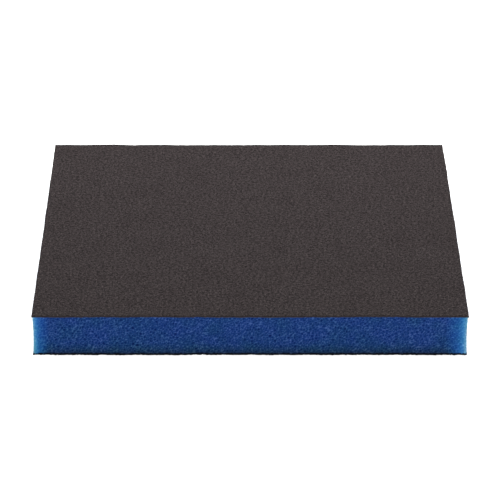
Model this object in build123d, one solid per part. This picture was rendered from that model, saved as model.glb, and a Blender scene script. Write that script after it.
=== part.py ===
from build123d import *
import os

# Double-sided flexible sanding pad: a block of open-cell foam with an abrasive coating on both
# broad faces. Each coating is a resin bond coat on the foam and a bed of fine grain on the resin.
# Millimetres, +Z up. X runs along the long side and Y along the short side. The origin is the
# centre of the lower abrasive face, which the pad rests on.

# Driving dimensions of the whole pad
LENGTH = 120.0
WIDTH = 98.0
THICKNESS = 13.0
CORNER_RADIUS = 0.25

# Thickness of each coating's two layers
BOND_COAT = 0.2
ABRASIVE_GRAIN = 0.3

# How far the cut sides of the foam stand back from the edges of the coatings. The cutting die
# squeezes the foam, which springs back dished and is flush only near the lower coating.
INSET_TOP = 0.2
INSET_MIDDLE = 0.26
INSET_BOTTOM = 0.02

# Heights of the foam between the two coatings
FOAM_BOTTOM = ABRASIVE_GRAIN + BOND_COAT
FOAM_TOP = THICKNESS - FOAM_BOTTOM
FOAM_MIDDLE = THICKNESS / 2


def layer(bottom, top):
    """Flat layer over the whole footprint, with the small corner radius of the cutting die."""
    outline = RectangleRounded(LENGTH, WIDTH, CORNER_RADIUS)
    return Pos(0, 0, bottom) * extrude(outline, top - bottom)


def dished_end(reach):
    """Arc up the end of the foam, standing back from reach by the three insets."""
    return ThreePointArc(
        (reach - INSET_BOTTOM, FOAM_BOTTOM),
        (reach - INSET_MIDDLE, FOAM_MIDDLE),
        (reach - INSET_TOP, FOAM_TOP),
    )


def dished_prism(plane, across, run):
    """Prism with two opposite sides dished, its section drawn in a plane whose Y is upwards."""
    right = dished_end(across / 2)
    left = mirror(right, Plane.YZ)
    top = Line(right @ 1, left @ 1)
    bottom = Line(left @ 0, right @ 0)
    section = make_face([right, top, left, bottom])
    return extrude(plane * section, run / 2, both=True)


def foam_core():
    """Foam block between the coatings: two dished prisms crossing, trimmed at the corners."""
    ends_dished = dished_prism(Plane.XZ, LENGTH, WIDTH)
    sides_dished = dished_prism(Plane.YZ, WIDTH, LENGTH)
    return ends_dished & sides_dished & layer(FOAM_BOTTOM, FOAM_TOP)


def pad():
    """Every piece of the pad, from the face it rests on upwards."""
    return {
        "lower_abrasive_grain": layer(0, ABRASIVE_GRAIN),
        "lower_bond_coat": layer(ABRASIVE_GRAIN, FOAM_BOTTOM),
        "foam_core": foam_core(),
        "upper_bond_coat": layer(FOAM_TOP, FOAM_TOP + BOND_COAT),
        "upper_abrasive_grain": layer(THICKNESS - ABRASIVE_GRAIN, THICKNESS),
    }


os.makedirs("parts", exist_ok=True)
for name, piece in pad().items():
    export_step(piece, f"parts/{name}.step")
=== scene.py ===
import math
import bpy
import numpy as np
from mathutils import Matrix, Vector


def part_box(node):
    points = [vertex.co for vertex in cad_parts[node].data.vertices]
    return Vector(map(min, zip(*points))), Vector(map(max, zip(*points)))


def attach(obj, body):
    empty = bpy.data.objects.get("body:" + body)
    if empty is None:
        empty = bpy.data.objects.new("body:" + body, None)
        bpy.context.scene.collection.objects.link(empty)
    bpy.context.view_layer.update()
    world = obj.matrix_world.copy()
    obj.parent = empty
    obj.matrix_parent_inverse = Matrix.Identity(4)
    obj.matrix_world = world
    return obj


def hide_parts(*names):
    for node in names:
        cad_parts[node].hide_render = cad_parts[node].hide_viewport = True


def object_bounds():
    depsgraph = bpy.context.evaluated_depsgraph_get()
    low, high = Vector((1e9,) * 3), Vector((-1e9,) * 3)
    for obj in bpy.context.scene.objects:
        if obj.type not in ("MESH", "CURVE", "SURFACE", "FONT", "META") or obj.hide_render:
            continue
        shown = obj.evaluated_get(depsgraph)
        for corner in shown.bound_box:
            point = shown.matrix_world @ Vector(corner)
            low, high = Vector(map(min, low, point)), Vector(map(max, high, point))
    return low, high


# A double-sided foam sanding pad: blue open-cell foam between two dark coatings of fine grain.
# Every length is in metres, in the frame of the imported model: X along the long side, Z up.

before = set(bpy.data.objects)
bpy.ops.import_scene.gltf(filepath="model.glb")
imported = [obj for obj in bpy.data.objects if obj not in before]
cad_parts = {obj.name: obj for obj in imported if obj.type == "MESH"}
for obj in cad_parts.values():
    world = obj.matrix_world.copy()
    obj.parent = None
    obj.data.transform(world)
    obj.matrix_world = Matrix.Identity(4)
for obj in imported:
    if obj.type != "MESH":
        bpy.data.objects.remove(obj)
cad_low, cad_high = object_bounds()

MM = 0.001

# The abrasive faces, with a vertex for each grain: their relief, and their cut and chipped rims.
# PLAIN is the mean of the random draws, and the tone and drop of what isn't a grain.
GRAIN_STEP = 0.35 * MM
GRAIN_RELIEF = 0.12 * MM
GRAIN_SHAPE = 1.8
GRAIN_JITTER = 0.4
GRAIN_SPACING, GRAIN_NEAR = 0.8, 2
PLAIN = 0.5
RIM_DROP = 0.05 * MM
RIM_ROUND = 0.07 * MM
RIM_CHIP_UP, RIM_CHIP_DOWN = 0.03 * MM, 0.08 * MM
# Painted shade on the cut rims: slight on the upper bed, nearly black on the lower, where the pad meets
# the floor
RIM_SHADE_UP, RIM_SHADE_DOWN = 0.08, 1.0

# The foam's cut sides: their cells and open pores
FOAM_STEP = 0.235 * MM
CELL_SIZE = 0.62 * MM
CELL_SPREAD = 0.45 * MM
CELL_MARGIN = 0.05
STRUT_WIDTH = 0.40 * MM
PORE_DEPTH = 0.12 * MM
PORE_SHALLOWEST = 0.2
PORE_SPREAD = 0.3
PORE_MARGIN = 0.4 * MM

# The dish that the cutting die leaves in them, as how far they stand back from the coatings
INSET_TOP = 0.25 * MM
INSET_MIDDLE = 0.33 * MM
INSET_BOTTOM = 0.02 * MM

# Painted glow along the upright corners, standing in for light through thin foam: its reach, its
# share on the end faces, and how far it veils the pores with an even tone. Elsewhere painted shade
# darkens the foam below a small height.
PAINTED_GLOW_LEFT, PAINTED_GLOW_RIGHT = 4.6 * MM, 6.2 * MM
END_PAINTED_GLOW = 0.55
PAINTED_GLOW_VEIL, PAINTED_GLOW_VEIL_TONE = 0.6, 0.25
# Height up to which painted shade darkens the foam's foot
PAINTED_SHADE_RISE = 3.5 * MM

# The bond coats' cut edges: how wide a lip of them slopes, how ragged they are, and how far they
# creep over the foam from below and from above
RESIN_STEP = 0.35 * MM
RESIN_LIP = 1.2 * MM
RESIN_RAGGED = 0.05 * MM
RESIN_CREEP_UP, RESIN_CREEP_DOWN = 0.20 * MM, 0.01 * MM

# How far the whole pad is out of true, sideways and upwards, and the waves that add up to it
SWAY_X, SWAY_Y = 0.035 * MM, 0.055 * MM
SWAY_SHORTEST, SWAY_LONGEST = 3 * MM, 25 * MM
SWELL = 0.06 * MM
SWELL_SHORTEST, SWELL_LONGEST = 12 * MM, 60 * MM
WAVE_COUNT = 16

# Seeds of the random draws
WAVE_SEED = 11
UPPER_GRAIN_SEED, LOWER_GRAIN_SEED = 21, 22
UPPER_RESIN_SEED, LOWER_RESIN_SEED = 31, 32
FOAM_SEED = 41


# Random fields and outlines


def waves(rng, shortest, longest):
    """A smooth random field of two coordinates, about 1 in size, as a sum of plane waves."""
    turn = rng.uniform(0, 2 * math.pi, WAVE_COUNT)
    number = 2 * math.pi / rng.uniform(shortest, longest, WAVE_COUNT)
    start = rng.uniform(0, 2 * math.pi, WAVE_COUNT)
    kx, ky = number * np.cos(turn), number * np.sin(turn)

    def field(x, y):
        angle = np.multiply.outer(x, kx) + np.multiply.outer(y, ky) + start
        return np.sin(angle).sum(-1) * math.sqrt(2 / WAVE_COUNT)

    return field


wave_rng = np.random.default_rng(WAVE_SEED)
sway_x = waves(wave_rng, SWAY_SHORTEST, SWAY_LONGEST)
sway_y = waves(wave_rng, SWAY_SHORTEST, SWAY_LONGEST)
swell = waves(wave_rng, SWELL_SHORTEST, SWELL_LONGEST)


def settle(points):
    """Moves points as the real pad is out of true, every layer alike, and flat where it rests."""
    x, y, z = points.T
    lift = SWELL * swell(x, y) * z / cad_high.z
    return np.stack([x + SWAY_X * sway_x(x, y), y + SWAY_Y * sway_y(x, y), z + lift], axis=1)


def smooth(t):
    """Eases from 0 to 1 as t does, and holds outside."""
    t = np.clip(t, 0, 1)
    return t * t * (3 - 2 * t)


class Outline:
    """Points evenly round the footprint, anticlockwise from the front left corner."""

    def __init__(self, step):
        self.half = (cad_high - cad_low) / 2
        along = np.linspace(-1, 1, round(2 * self.half.x / step), endpoint=False)
        across = np.linspace(-1, 1, round(2 * self.half.y / step), endpoint=False)
        full_x, full_y = np.ones(len(along)), np.ones(len(across))
        self.x = np.concatenate([along, full_y, -along, -full_y]) * self.half.x
        self.y = np.concatenate([-full_x, across, full_x, -across]) * self.half.y
        self.count = len(self.x)
        steps = np.hypot(np.diff(self.x), np.diff(self.y))
        self.along = np.concatenate([[0], np.cumsum(steps)])
        self.length = 4 * (self.half.x + self.half.y)

    def loop(self, inset, z):
        """The outline drawn in by inset, at height z; each is a number or one for each point."""
        reach_x, reach_y = self.half.x - inset, self.half.y - inset
        x, y = np.clip(self.x, -reach_x, reach_x), np.clip(self.y, -reach_y, reach_y)
        return np.stack(np.broadcast_arrays(x, y, z), axis=-1)

    def from_corner(self):
        """How far each point is from the nearest upright corner."""
        return self.half.x - np.abs(self.x) + self.half.y - np.abs(self.y)


# Mesh building


def loft(rings):
    """Quads between neighbouring rings of vertex numbers, facing outwards where rings go up."""
    low, high = rings[:-1], rings[1:]
    quads = [low, np.roll(low, -1, 1), np.roll(high, -1, 1), high]
    return np.stack(quads, axis=-1).reshape(-1, 4)


def fan(edge, centre):
    """Triangles from a ring of vertex numbers to its centre, facing up."""
    return np.stack([edge, np.roll(edge, -1), np.full(len(edge), centre)], axis=1)


def border(grid):
    """The outermost vertex numbers of a grid, as an anticlockwise ring."""
    return np.concatenate([grid[:-1, 0], grid[-1, :-1], grid[:0:-1, -1], grid[0, :0:-1]])


def facets(grid, leans):
    """Two triangles, facing up, in each square of a grid, which is cut along one diagonal where it
    leans, and along the other where it doesn't.
    """
    a, b, c, d = grid[:-1, :-1], grid[1:, :-1], grid[1:, 1:], grid[:-1, 1:]
    one = np.where(leans, np.stack([a, b, c], -1), np.stack([a, b, d], -1))
    other = np.where(leans, np.stack([a, c, d], -1), np.stack([b, c, d], -1))
    return [one.reshape(-1, 3), other.reshape(-1, 3)]


def closed_stack(loops):
    """Points and faces of a closed form: a stack of loops from the bottom up, with both ends filled."""
    count = len(loops[0])
    ends = [[[0, 0, loops[0][:, 2].mean()]], [[0, 0, loops[-1][:, 2].mean()]]]
    points = np.concatenate([*loops, *ends])
    rings = np.arange(count * len(loops)).reshape(len(loops), count)
    bottom, top = len(points) - 2, len(points) - 1
    return points, [loft(rings), fan(rings[0], bottom)[:, ::-1], fan(rings[-1], top)]


def piece(name, points, faces, node, material, faceted):
    """Makes a piece that rides on the pad's one body and stands for a CAD node."""
    mesh = bpy.data.meshes.new(name)
    mesh.from_pydata(settle(points).tolist(), [], [face for part in faces for face in part.tolist()])
    mesh.polygons.foreach_set("use_smooth", [not faceted] * len(mesh.polygons))
    mesh.materials.append(material)
    made = bpy.data.objects.new(name, mesh)
    bpy.context.scene.collection.objects.link(made)
    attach(made, "root")
    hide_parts(node)
    return made


def store(made, name, domain, values):
    """Keeps one number for each point or face of a piece, for its material to read."""
    layer = made.data.attributes.new(name, "FLOAT", domain)
    layer.data.foreach_set("value", values.astype(np.float32))


# The pieces


def spaced(draws):
    """Random grids with less of their slow changes, because grains lie evenly apart."""
    shifts = range(-GRAIN_NEAR, GRAIN_NEAR + 1)
    near = [np.roll(draws, (i, j), (1, 2)) for i in shifts for j in shifts]
    return np.clip(draws - GRAIN_SPACING * (sum(near) / len(near) - PLAIN), 0, 1)


def grain_bed(name, node, material, seed):
    """A bed of grain: a face of small facets on a flat back, with a chipped cut edge."""
    low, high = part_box(node)
    rng = np.random.default_rng(seed)
    upper = low.z > cad_low.z
    back, face, up = (low.z, high.z, 1) if upper else (high.z, low.z, -1)
    nx, ny = round((high.x - low.x) / GRAIN_STEP), round((high.y - low.y) / GRAIN_STEP)
    line_x, line_y = np.linspace(low.x, high.x, nx + 1), np.linspace(low.y, high.y, ny + 1)
    x, y = np.meshgrid(line_x, line_y, indexing="ij")
    rim_x, rim_y = np.abs(x) > line_x[-2], np.abs(y) > line_y[-2]
    jitter = rng.uniform(-GRAIN_JITTER, GRAIN_JITTER, (2, *x.shape)) * GRAIN_STEP
    rim_chip = RIM_CHIP_UP if upper else RIM_CHIP_DOWN
    chip = RIM_ROUND + rim_chip * rng.normal(0, 1, (2, *x.shape))
    x = x + np.where(rim_x, -np.sign(x) * chip[0], jitter[0])
    y = y + np.where(rim_y, -np.sign(y) * chip[1], jitter[1])
    drop = spaced(rng.beta(GRAIN_SHAPE, GRAIN_SHAPE, (1, *x.shape)))[0]
    z = face - up * (GRAIN_RELIEF * drop + RIM_DROP * (rim_x | rim_y))
    grid = np.arange(x.size).reshape(x.shape)
    edge = border(grid)
    points = np.stack([x, y, z], axis=-1).reshape(-1, 3)
    back_edge = points[edge] * (1, 1, 0) + (0, 0, back)
    # How much painted shade each rim point gets, by bed
    cut = (rim_x | rim_y) * (RIM_SHADE_UP if upper else RIM_SHADE_DOWN)
    points = np.concatenate([points, back_edge, [[0, 0, back]]])
    behind = x.size + np.arange(len(edge))
    leans = rng.uniform(0, 1, (nx, ny, 1)) < 0.5
    walls = loft(np.stack([behind, edge]))
    cap = fan(behind, len(points) - 1)[:, ::-1]
    faces = [*facets(grid, leans), walls, cap]
    if not upper:
        faces = [part[:, ::-1] for part in faces]
    made = piece(name, points, faces, node, material, True)
    tone = spaced(rng.uniform(0, 1, (2, nx, ny))).ravel()
    others = np.full(len(made.data.polygons) - len(tone), PLAIN)
    store(made, "tone", "FACE", np.concatenate([tone, others]))
    store(made, "drop", "POINT", np.concatenate([drop.ravel(), np.full(len(behind) + 1, PLAIN)]))
    store(made, "cut", "POINT", np.concatenate([cut.ravel(), cut.ravel()[edge], [0]]))
    return made


def cells(along, height, period, rng):
    """How open the foam is at each point, from 0 on a strut to 1 inside a cell, and a random number
    for its cell. Cells are the regions nearest to seeds strewn round a strip that closes on itself.
    """
    across, up = round(period / CELL_SIZE), math.ceil(height.max() / CELL_SIZE) + 3
    step = period / across
    place = rng.uniform(CELL_MARGIN, 1 - CELL_MARGIN, (2, across, up))
    spread = rng.uniform(0, CELL_SPREAD, (across, up))
    i, j = np.floor(along / step).astype(int), np.floor(height / CELL_SIZE).astype(int) + 1
    nearest, second = np.full(along.shape, np.inf), np.full(along.shape, np.inf)
    number = np.zeros(along.shape, int)
    for di in (-1, 0, 1):
        for dj in (-1, 0, 1):
            a, b = (i + di) % across, j + dj
            beside = (i + di + place[0, a, b]) * step - along
            above = (j + dj - 1 + place[1, a, b]) * CELL_SIZE - height
            distance = np.hypot(beside, above) - spread[a, b]
            closer = distance < nearest
            second = np.where(closer, nearest, np.minimum(second, distance))
            number = np.where(closer, a * up + b, number)
            nearest = np.where(closer, distance, nearest)
    draw = rng.uniform(0, 1, across * up)
    return smooth((second - nearest) / STRUT_WIDTH), draw[number]


def dish(t):
    """How far a cut side stands back from the coatings at t, from 0 at its foot to 1 at its top."""
    bow = INSET_MIDDLE - (INSET_TOP + INSET_BOTTOM) / 2
    return INSET_BOTTOM + (INSET_TOP - INSET_BOTTOM) * t + 4 * bow * t * (1 - t)


def out_of_painted_glow(outline):
    """How far each point is out of its upright corner's painted glow, from 0 in full glow to 1 beyond
    it.
    """
    reach = np.where(outline.x > 0, PAINTED_GLOW_RIGHT, PAINTED_GLOW_LEFT)
    corner = np.clip((outline.from_corner() - INSET_TOP) / reach, 0, 1)
    on_end = np.abs(outline.x) == outline.half.x
    return np.where(on_end, 1 - END_PAINTED_GLOW * (1 - corner), corner)


def foam_block(name, node, material, seed):
    """The foam: four dished cut sides covered in open pores, and flat ends under the coatings."""
    low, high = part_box(node)
    outline = Outline(FOAM_STEP)
    height = high.z - low.z
    rise = np.linspace(0, height, round(height / FOAM_STEP) + 1)[:, None]
    strip = np.broadcast_arrays(outline.along, rise)
    depth, draw = cells(*strip, outline.length, np.random.default_rng(seed))
    opened = depth * (PORE_SHALLOWEST + (1 - PORE_SHALLOWEST) * draw)
    whole = smooth(np.minimum(rise, height - rise) / PORE_MARGIN)
    inset = dish(rise / height) + PORE_DEPTH * opened * whole
    loops = [outline.loop(row, low.z + up) for row, up in zip(inset, rise[:, 0])]
    points, faces = closed_stack(loops)
    made = piece(name, points, faces, node, material, False)
    # How far each point is from the painted glow at the upright corners
    corner = np.broadcast_to(out_of_painted_glow(outline), opened.shape)
    painted_glow_veil = 1 - smooth(corner)
    # How far each point is out of the painted shade at the foot, which the painted glow takes away
    clear_of_painted_shade = np.clip(rise / PAINTED_SHADE_RISE + painted_glow_veil, 0, 1)
    # Pores darker than struts: partly the dye, partly painted shade in the pores
    tone = depth * (1 - PORE_SPREAD * draw)
    # The painted glow's veil evens the pores near the upright corners
    tone = tone + (PAINTED_GLOW_VEIL_TONE - tone) * PAINTED_GLOW_VEIL * painted_glow_veil
    centres = np.zeros(2)
    store(made, "pore_dye_and_shade", "POINT", np.concatenate([tone.ravel(), centres]))
    store(made, "corner", "POINT", np.concatenate([corner.ravel(), centres]))
    store(made, "clear_of_painted_shade", "POINT", np.concatenate([clear_of_painted_shade.ravel(), centres]))
    return made


def bond_resin(name, node, material, seed):
    """A thin coat of resin between foam and grain, whose cut edge is ragged and creeps over the foam."""
    low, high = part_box(node)
    rng = np.random.default_rng(seed)
    outline = Outline(RESIN_STEP)
    upper = low.z > cad_high.z / 2
    creep = RESIN_CREEP_DOWN if upper else RESIN_CREEP_UP
    creep = creep + RESIN_RAGGED * np.abs(rng.normal(0, 1, outline.count))
    bite = RESIN_RAGGED * rng.uniform(0, 1, (2, outline.count))
    sides = [low.z - creep, high.z] if upper else [low.z, high.z + creep]
    middle = (low.z + high.z) / 2
    loops = [
        outline.loop(RESIN_LIP, low.z),
        outline.loop(bite[0], sides[0]),
        outline.loop(bite[1], middle),
        outline.loop(bite[0], sides[1]),
        outline.loop(RESIN_LIP, high.z),
    ]
    points, faces = closed_stack(loops)
    return piece(name, points, faces, node, material, False)


# Materials


class Shader:
    """A material with a Principled shader, and short ways to add the nodes that drive it."""

    def __init__(self, name, **values):
        self.material = bpy.data.materials.new(name)
        self.material.use_nodes = True
        self.tree = self.material.node_tree
        self.principled = self.tree.nodes["Principled BSDF"]
        self.set(**values)

    def set(self, **values):
        """Sets sockets of the Principled shader to a number, a colour or another node's output."""
        for name, value in values.items():
            self.feed(self.principled.inputs[name.replace("_", " ")], value)

    def feed(self, socket, value):
        """Links another node's output to a socket, or sets the socket to a constant."""
        if isinstance(value, bpy.types.NodeSocket):
            self.tree.links.new(value, socket)
        else:
            socket.default_value = value

    def add(self, kind, **settings):
        """Makes a shader node of a kind, with settings such as its data type."""
        node = self.tree.nodes.new("ShaderNode" + kind)
        for name, value in settings.items():
            setattr(node, name, value)
        return node

    def attribute(self, name):
        """The numbers that store() kept on the mesh."""
        return self.add("Attribute", attribute_name=name).outputs["Fac"]

    def noise(self, size, detail=2.0, roughness=0.5):
        """Noise from 0 to 1 whose features are about size metres across."""
        node = self.add("TexNoise")
        self.feed(node.inputs["Vector"], self.add("TexCoord").outputs["Object"])
        self.feed(node.inputs["Scale"], 1 / size)
        self.feed(node.inputs["Detail"], detail)
        self.feed(node.inputs["Roughness"], roughness)
        return node.outputs["Fac"]

    def ramp(self, value, stops):
        """Colours along value, from stops of (place, (red, green, blue))."""
        node = self.add("ValToRGB")
        self.feed(node.inputs["Fac"], value)
        elements = node.color_ramp.elements
        while len(elements) < len(stops):
            elements.new(0.5)
        for element, (place, colour) in zip(elements, stops):
            element.position = place
            element.color = (*colour, 1)
        return node.outputs["Color"]

    def times(self, a, b):
        """Two colours multiplied, or a colour by a number."""
        node = self.add("Mix", data_type="RGBA", blend_type="MULTIPLY")
        sockets = {socket.identifier: socket for socket in node.inputs}
        self.feed(sockets["Factor_Float"], 1.0)
        self.feed(sockets["A_Color"], a)
        self.feed(sockets["B_Color"], b)
        return next(socket for socket in node.outputs if socket.identifier == "Result_Color")

    def bump(self, height, depth):
        """A normal for relief too fine for the mesh, which is depth metres at height 1."""
        node = self.add("Bump")
        self.feed(node.inputs["Distance"], depth)
        self.feed(node.inputs["Height"], height)
        return node.outputs["Normal"]


def grain_material():
    """Dark brown-grey mineral under a thin size coat, darker in the hollows, partly resin and partly
    painted shade, and darkened on the cut rim by painted shade.
    """
    s = Shader("abrasive_grain", Roughness=0.7, Specular_IOR_Level=0.04)
    grains = s.ramp(s.attribute("tone"), [
        (0.0, (0.0058, 0.0043, 0.0045)),
        (0.5, (0.0203, 0.0155, 0.0161)),
        (1.0, (0.0490, 0.0395, 0.0395)),
    ])
    # Darker where grains sit low: partly resin that gathers in the hollows, partly painted shade
    depth = s.ramp(s.attribute("drop"), [(0.15, (1.18, 1.18, 1.18)), (0.85, (0.82, 0.82, 0.82))])
    drift = s.ramp(s.noise(8 * MM, 3), [(0.3, (0.95, 0.93, 0.93)), (0.7, (1.05, 1.05, 1.05))])
    # Painted shade on the cut rim, down to nearly black on the lower bed
    cut = s.ramp(s.attribute("cut"), [(0.0, (1.0, 1.0, 1.0)), (1.0, (0.04, 0.04, 0.06))])
    fine = s.ramp(s.noise(0.22 * MM), [(0.35, (0.64, 0.63, 0.64)), (0.65, (1.36, 1.37, 1.36))])
    colour = s.times(s.times(grains, fine), s.times(depth, drift))
    s.set(Base_Color=s.times(colour, cut))
    s.set(Normal=s.bump(s.noise(0.12 * MM, 3, 0.6), 0.04 * MM))
    return s.material


def resin_material(name, dark, light):
    """Dark flexible resin, seen on its cut edge."""
    s = Shader(name, Roughness=0.7, Specular_IOR_Level=0.04)
    s.set(Base_Color=s.ramp(s.noise(0.4 * MM, 3), [(0.3, dark), (0.7, light)]))
    s.set(Normal=s.bump(s.noise(0.15 * MM, 2), 0.03 * MM))
    return s.material


def foam_material():
    """Unevenly dyed foam: pale struts and dark pores, the pores' darkness partly dye and partly painted
    shade, painted shade at the foot, and painted glow along the upright corners.
    """
    s = Shader("blue_foam", Roughness=0.9, Specular_IOR_Level=0.05)
    # Pale struts and dark pores; the pores' darkness is partly dye, partly painted shade
    dyed_struts_and_pore_shade = s.ramp(s.attribute("pore_dye_and_shade"), [
        (0.0, (0.0270, 0.0695, 0.205)),
        (0.2, (0.0059, 0.0288, 0.122)),
        (0.7, (0.0030, 0.0198, 0.099)),
        (1.0, (0.0003, 0.0070, 0.058)),
    ])
    speckle = s.ramp(s.noise(0.60 * MM, 4, 0.85), [(0.3, (0.50, 0.66, 0.76)), (0.7, (1.64, 1.38, 1.24))])
    # Painted shade: the foam darker towards its foot, most in red and green
    painted_foot_shade = s.ramp(s.attribute("clear_of_painted_shade"), [
        (0.0, (0.55, 0.33, 0.22)),
        (0.18, (0.78, 0.66, 0.50)),
        (0.46, (0.92, 0.91, 0.72)),
        (1.0, (1.0, 1.0, 1.0)),
    ])
    # Painted glow: the base colour brightened many times along the upright corners, standing in for
    # light through thin foam
    lift = s.ramp(s.attribute("corner"), [
        (0.0, (19.0, 10.2, 3.20)),
        (0.05, (14.5, 8.2, 2.98)),
        (0.1, (8.8, 6.3, 2.85)),
        (0.175, (4.2, 4.6, 2.65)),
        (0.3, (2.1, 2.85, 2.05)),
        (0.42, (1.5, 2.05, 1.68)),
        (0.65, (1.0, 1.4, 1.35)),
        (1.0, (1.0, 1.0, 1.0)),
    ])
    dye = s.ramp(s.noise(5.0 * MM, 2), [(0.35, (0.85, 1.00, 0.90)), (0.65, (1.15, 1.01, 1.09))])
    colour = s.times(s.times(dyed_struts_and_pore_shade, speckle), dye)
    s.set(Base_Color=s.times(s.times(colour, painted_foot_shade), lift))
    s.set(Normal=s.bump(s.noise(0.2 * MM, 3, 0.6), 0.05 * MM))
    return s.material


def floor_material():
    """Plain white matt paper, with a little light of its own so that the pad's shadow stays pale."""
    s = Shader("floor_paper", Roughness=0.9, Specular_IOR_Level=0.1)
    s.set(Base_Color=(0.88, 0.88, 0.88, 1))
    s.set(Emission_Color=(1, 1, 1, 1), Emission_Strength=0.55)
    return s.material


# Stage, light and camera


def floor():
    """A plain white floor under the pad."""
    reach = 3.0
    mesh = bpy.data.meshes.new("floor")
    corners = [(-reach, -reach, 0), (reach, -reach, 0), (reach, reach, 0), (-reach, reach, 0)]
    mesh.from_pydata(corners, [], [(0, 1, 2, 3)])
    mesh.materials.append(floor_material())
    made = bpy.data.objects.new("floor", mesh)
    made.location.z = cad_low.z
    bpy.context.scene.collection.objects.link(made)


def panel(name, place, size, power):
    """A soft rectangular lamp that faces the pad's middle, its power in watts."""
    lamp = bpy.data.lights.new(name, "AREA")
    lamp.shape = "RECTANGLE"
    lamp.size, lamp.size_y = size
    lamp.energy = power
    made = bpy.data.objects.new(name, lamp)
    made.location = place
    made.rotation_euler = ((cad_low + cad_high) / 2 - Vector(place)).to_track_quat("-Z", "Y").to_euler()
    made.visible_camera = False
    bpy.context.scene.collection.objects.link(made)


def lights():
    """A white room, a soft lamp over the pad's back, and low lamps beyond both ends."""
    world = bpy.data.worlds.new("studio")
    world.use_nodes = True
    world.node_tree.nodes["Background"].inputs["Color"].default_value = (1, 1, 1, 1)
    world.node_tree.nodes["Background"].inputs["Strength"].default_value = 1.0
    bpy.context.scene.world = world
    bpy.context.scene.view_settings.view_transform = "Standard"
    panel("overhead", (0.01, 0.16, 0.16), (0.35, 0.12), 0.65)
    panel("left_end", (-0.55, 0.0, 0.05), (0.4, 0.09), 3.4)
    panel("right_end", (0.55, 0.0, 0.05), (0.4, 0.09), 3.8)


def camera():
    """A long lens above the pad's front, turned a hair about each axis."""
    distance = 0.685
    pitch, yaw, roll = math.radians(31.20), math.radians(-0.324), math.radians(0.174)
    aside = Vector((0.10, -3.3, -0.06)) * MM
    target = (cad_low + cad_high) / 2 + aside
    back = Vector((math.sin(yaw) * math.cos(pitch), -math.cos(yaw) * math.cos(pitch), math.sin(pitch)))
    data = bpy.data.cameras.new("camera")
    data.sensor_width = 36.0
    data.lens = 169.0
    made = bpy.data.objects.new("camera", data)
    facing = back.to_track_quat("Z", "Y").to_matrix().to_4x4() @ Matrix.Rotation(roll, 4, "Z")
    made.matrix_world = Matrix.Translation(target + back * distance) @ facing
    bpy.context.scene.collection.objects.link(made)
    bpy.context.scene.camera = made


camera()
grain = grain_material()
upper_resin = resin_material("upper_resin", (0.016, 0.015, 0.019), (0.040, 0.036, 0.044))
# The lower coat's tones are the upper's darkened as painted shade, where the pad meets the floor
lower_resin_in_painted_shade = resin_material("lower_resin_in_painted_shade", (0.0008, 0.0009, 0.0017), (0.0020, 0.0022, 0.0040))
grain_bed("upper_grain_bed", "upper_abrasive_grain", grain, UPPER_GRAIN_SEED)
grain_bed("lower_grain_bed", "lower_abrasive_grain", grain, LOWER_GRAIN_SEED)
bond_resin("upper_bond_resin", "upper_bond_coat", upper_resin, UPPER_RESIN_SEED)
bond_resin("lower_bond_resin", "lower_bond_coat", lower_resin_in_painted_shade, LOWER_RESIN_SEED)
foam_block("foam_block", "foam_core", foam_material(), FOAM_SEED)
floor()
lights()
